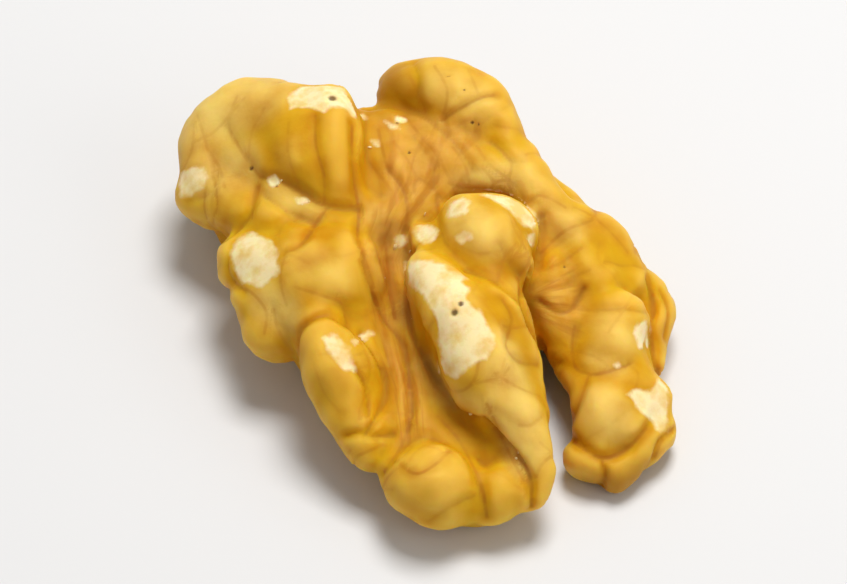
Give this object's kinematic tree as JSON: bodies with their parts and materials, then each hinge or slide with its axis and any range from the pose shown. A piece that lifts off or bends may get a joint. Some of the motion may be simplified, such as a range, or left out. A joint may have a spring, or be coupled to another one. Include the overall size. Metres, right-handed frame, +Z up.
{
  "type": "walnut kernel",
  "caption": "Half a walnut kernel: one seed leaf with two deeply folded lobes joined at one end, lying on its hollow side.",
  "frame": {"origin": "on the table, under the middle of the kernel's box", "axes": "+Z up through the folded back, -Y towards the free ends of the two lobes, +Y towards their joined end, +X towards the narrower lobe"},
  "size_m": [0.0324, 0.0326, 0.0124],
  "materials": {
    "kernel_skin": "satin"
  },
  "bodies": {
    "root": {"walnut_kernel": "kernel_skin"}
  },
  "joints": []
}
